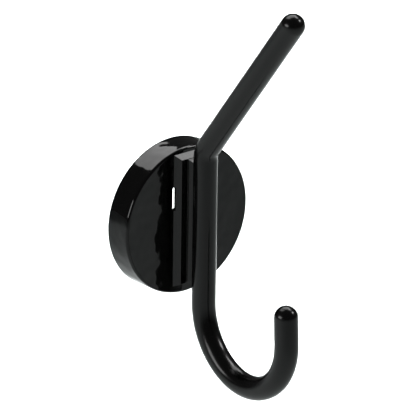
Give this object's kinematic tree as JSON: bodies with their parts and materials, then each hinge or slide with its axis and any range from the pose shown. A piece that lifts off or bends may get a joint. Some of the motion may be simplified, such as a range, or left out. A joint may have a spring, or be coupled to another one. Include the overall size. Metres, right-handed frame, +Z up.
{
  "type": "magnetic double coat hook",
  "caption": "Bent round-rod double coat hook, with a long upper arm and a lower J, on a bracket fixed to a round magnetic base.",
  "frame": {"origin": "centre of the base on the wall's surface, where the friction pad's back face rests", "axes": "+Z up along the rod's straight, +Y into the wall, -Y out of the wall towards the hook's front, X across"},
  "size_m": [0.0646, 0.0807, 0.174],
  "materials": {
    "gloss_black_coat": "high-gloss black coat on steel, with faint orange peel",
    "zinc_screws": "bright zinc plate",
    "spring_steel": "plain spring steel",
    "yoke_steel": "zinc plate, satin",
    "nickel_plate": "bright nickel plate",
    "tray_nylon": "moulded, fine grain",
    "adhesive_film": "translucent film",
    "pad_rubber": "moulded rubber, matt"
  },
  "bodies": {
    "root": {"base_cup": "gloss_black_coat", "bracket": "gloss_black_coat", "hook_rod": "gloss_black_coat", "weld_left": "gloss_black_coat", "weld_right": "gloss_black_coat", "bracket_screws": "zinc_screws", "spring_washers": "spring_steel", "yoke_ring": "yoke_steel", "magnet_tray": "tray_nylon", "magnet_1": "nickel_plate", "magnet_2": "nickel_plate", "magnet_3": "nickel_plate", "magnet_4": "nickel_plate", "magnet_5": "nickel_plate", "magnet_6": "nickel_plate", "magnet_7": "nickel_plate", "magnet_8": "nickel_plate", "tray_screws": "zinc_screws", "pad_adhesive": "adhesive_film", "friction_pad": "pad_rubber"}
  },
  "joints": []
}
